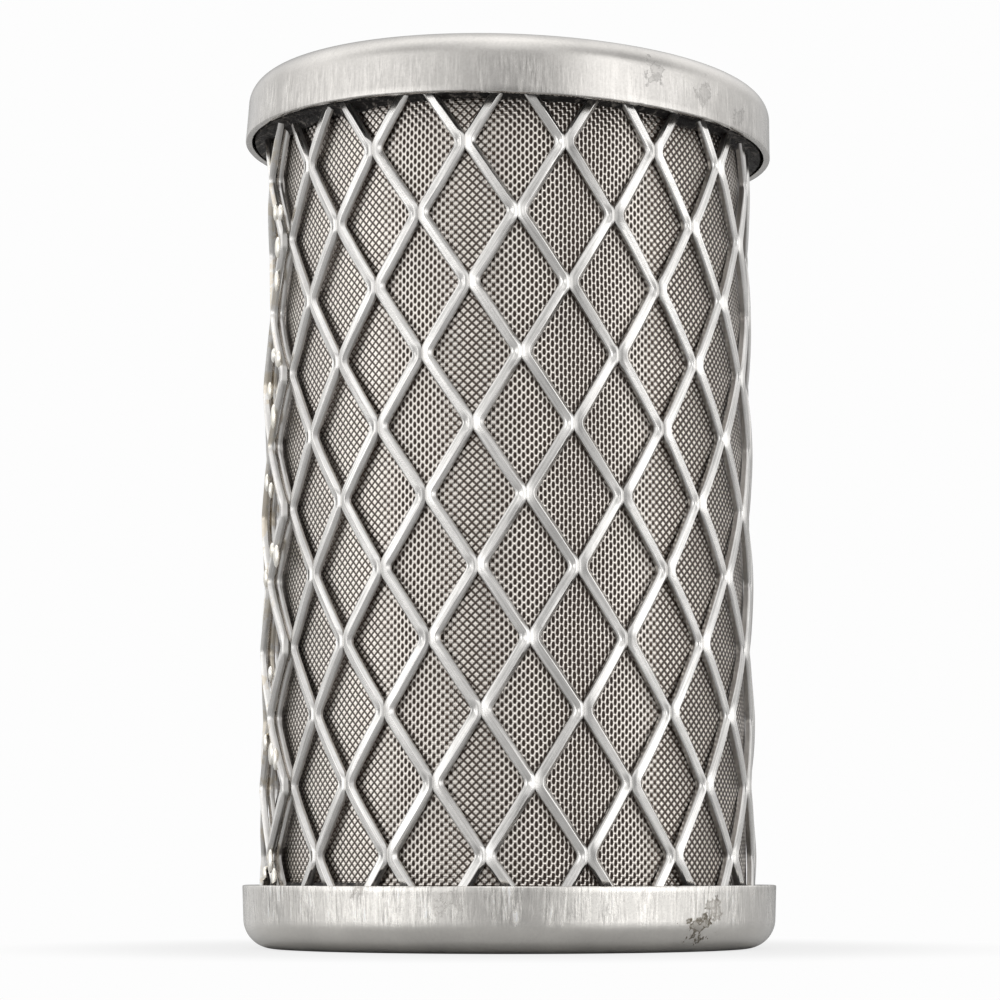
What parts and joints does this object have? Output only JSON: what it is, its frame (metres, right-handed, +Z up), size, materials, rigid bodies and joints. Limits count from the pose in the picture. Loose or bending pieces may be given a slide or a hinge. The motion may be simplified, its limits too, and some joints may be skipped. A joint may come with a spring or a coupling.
{
  "type": "mesh filter element",
  "caption": "Cylindrical mesh filter element: woven wire cloth in an expanded metal guard, with drawn steel end caps and an outlet in the upper cap.",
  "frame": {"origin": "centre of the flat underside of the lower cap, which the element stands on", "axes": "+Z up along the element towards the outlet, the pictured side faces -Y, +X to the right of the picture"},
  "size_m": [0.056, 0.056, 0.0913],
  "materials": {
    "cap_steel": "drawn steel sheet, satin, with fine upright draw marks",
    "guard_steel": "bright expanded steel sheet",
    "cloth_steel": "plain square woven wire cloth",
    "core_steel": "plain perforated steel sheet",
    "potting_resin": "dark gritty casting resin",
    "seal_rubber": "black moulded rubber"
  },
  "bodies": {
    "root": {"bottom_end_cap": "cap_steel", "top_end_cap": "cap_steel", "guard_sleeve": "guard_steel", "filter_cloth": "cloth_steel", "core_tube": "core_steel", "bottom_potting": "potting_resin", "top_potting": "potting_resin", "outlet_seal": "seal_rubber"}
  },
  "joints": []
}
